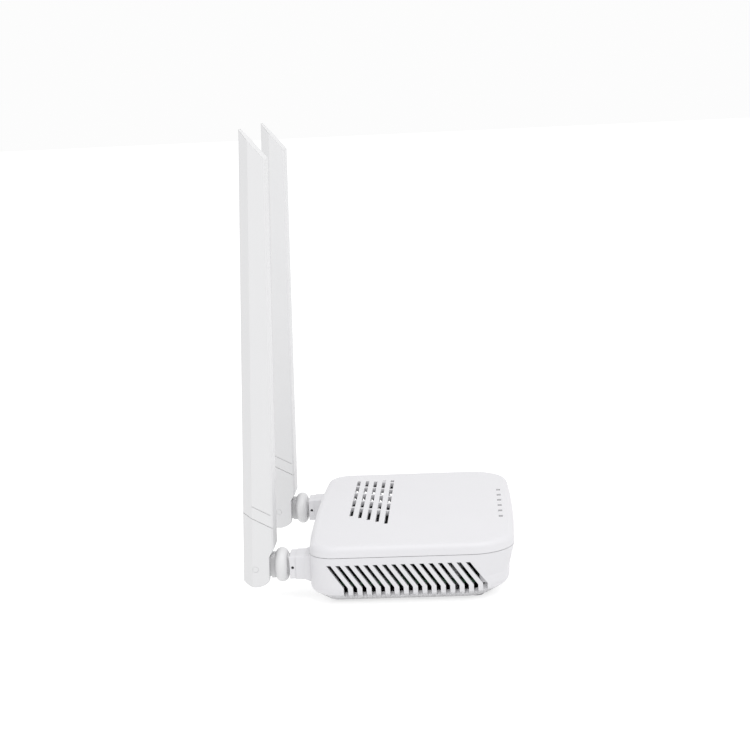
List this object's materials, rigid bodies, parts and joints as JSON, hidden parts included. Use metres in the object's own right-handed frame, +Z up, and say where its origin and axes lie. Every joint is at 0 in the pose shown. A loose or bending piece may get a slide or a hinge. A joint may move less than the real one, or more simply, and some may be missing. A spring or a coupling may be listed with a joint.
{
  "type": "optical network terminal",
  "caption": "Low rounded box with slanted side louvres, slotted top vents, rear ports and upright folding blade antennas; joins a fibre line to a home network.",
  "frame": {"origin": "centre of the whole object's footprint, antennas included, on the surface it stands on", "axes": "+Z up, -Y towards the indicator side, +Y towards the ports and antennas, X across the case; left and right are as seen from the indicator side, looking along +Y, so left is -X"},
  "size_m": [0.123, 0.1139, 0.1945],
  "materials": {
    "white_shell": "satin injection-moulded ABS",
    "antenna_white": "satin moulded plastic",
    "foot_rubber": "matt grey rubber",
    "screw_steel": "zinc-plated steel",
    "label_film": "blank matt film",
    "board_green": "solder-masked glass-fibre laminate",
    "chip_black": "moulded epoxy",
    "thermal_grey": "soft filled silicone",
    "sink_aluminium": "extruded, bare",
    "shield_steel": "tinned sheet",
    "capacitor_can": "sleeved can",
    "led_body": "clear-capped chip",
    "light_pipe": "smoked clear moulding",
    "jack_black": "moulded nylon",
    "contact_gold": "gold-plated bronze",
    "fibre_green": "moulded, angled-polish green",
    "ceramic_white": "zirconia",
    "module_metal": "machined",
    "button_grey": "satin moulding",
    "lead_grey": "coaxial sheath",
    "radiator_copper": "printed copper on laminate"
  },
  "bodies": {
    "case": {"bottom_case": "white_shell", "top_cover": "white_shell", "rubber_feet": "foot_rubber", "case_screws": "screw_steel", "rating_label": "label_film", "main_board": "board_green", "processor": "chip_black", "thermal_pad": "thermal_grey", "heat_sink": "sink_aluminium", "radio_shield": "shield_steel", "radio_chip": "chip_black", "capacitors": "capacitor_can", "board_components": "chip_black", "indicator_leds": "led_body", "light_guide": "light_pipe", "lan_jack_1": "jack_black", "lan_contacts_1": "contact_gold", "lan_jack_2": "jack_black", "lan_contacts_2": "contact_gold", "fibre_port": "fibre_green", "fibre_sleeve": "ceramic_white", "optical_module": "module_metal", "dc_jack": "jack_black", "dc_centre_pin": "module_metal", "power_switch": "jack_black", "reset_switch": "jack_black", "antenna_socket_left": "white_shell", "case_lead_left": "lead_grey", "antenna_socket_right": "white_shell", "case_lead_right": "lead_grey"},
    "swivel_body_left": {"swivel_left": "antenna_white"},
    "blade_left": {"hinge_pin_left": "antenna_white", "blade_base_left": "antenna_white", "blade_sleeve_left": "antenna_white", "radiator_left": "radiator_copper", "blade_lead_left": "lead_grey"},
    "swivel_body_right": {"swivel_right": "antenna_white"},
    "blade_right": {"hinge_pin_right": "antenna_white", "blade_base_right": "antenna_white", "blade_sleeve_right": "antenna_white", "radiator_right": "radiator_copper", "blade_lead_right": "lead_grey"},
    "power_button_body": {"power_button": "button_grey"},
    "reset_body": {"reset_plunger": "button_grey"}
  },
  "joints": [
    {"name": "antenna_swivel_left", "type": "hinge", "parent": "case", "child": "swivel_body_left", "pos_m": [-0.045, 0.04151, 0.0142], "axis": [0, -1, 0], "range_deg": [-8, 90]},
    {"name": "antenna_tilt_left", "type": "hinge", "parent": "swivel_body_left", "child": "blade_left", "pos_m": [-0.045, 0.05141, 0.0142], "axis": [-1, 0, 0], "range_deg": [0, 90]},
    {"name": "antenna_swivel_right", "type": "hinge", "parent": "case", "child": "swivel_body_right", "pos_m": [0.045, 0.04151, 0.0142], "axis": [0, 1, 0], "range_deg": [-8, 90]},
    {"name": "antenna_tilt_right", "type": "hinge", "parent": "swivel_body_right", "child": "blade_right", "pos_m": [0.045, 0.05141, 0.0142], "axis": [-1, 0, 0], "range_deg": [0, 90]},
    {"name": "power_press", "type": "slide", "parent": "case", "child": "power_button_body", "axis": [0, -1, 0], "range_m": [0, 0.002], "stiffness_N_per_m": 250},
    {"name": "reset_press", "type": "slide", "parent": "case", "child": "reset_body", "axis": [0, -1, 0], "range_m": [0, 0.0003], "stiffness_N_per_m": 400}
  ]
}
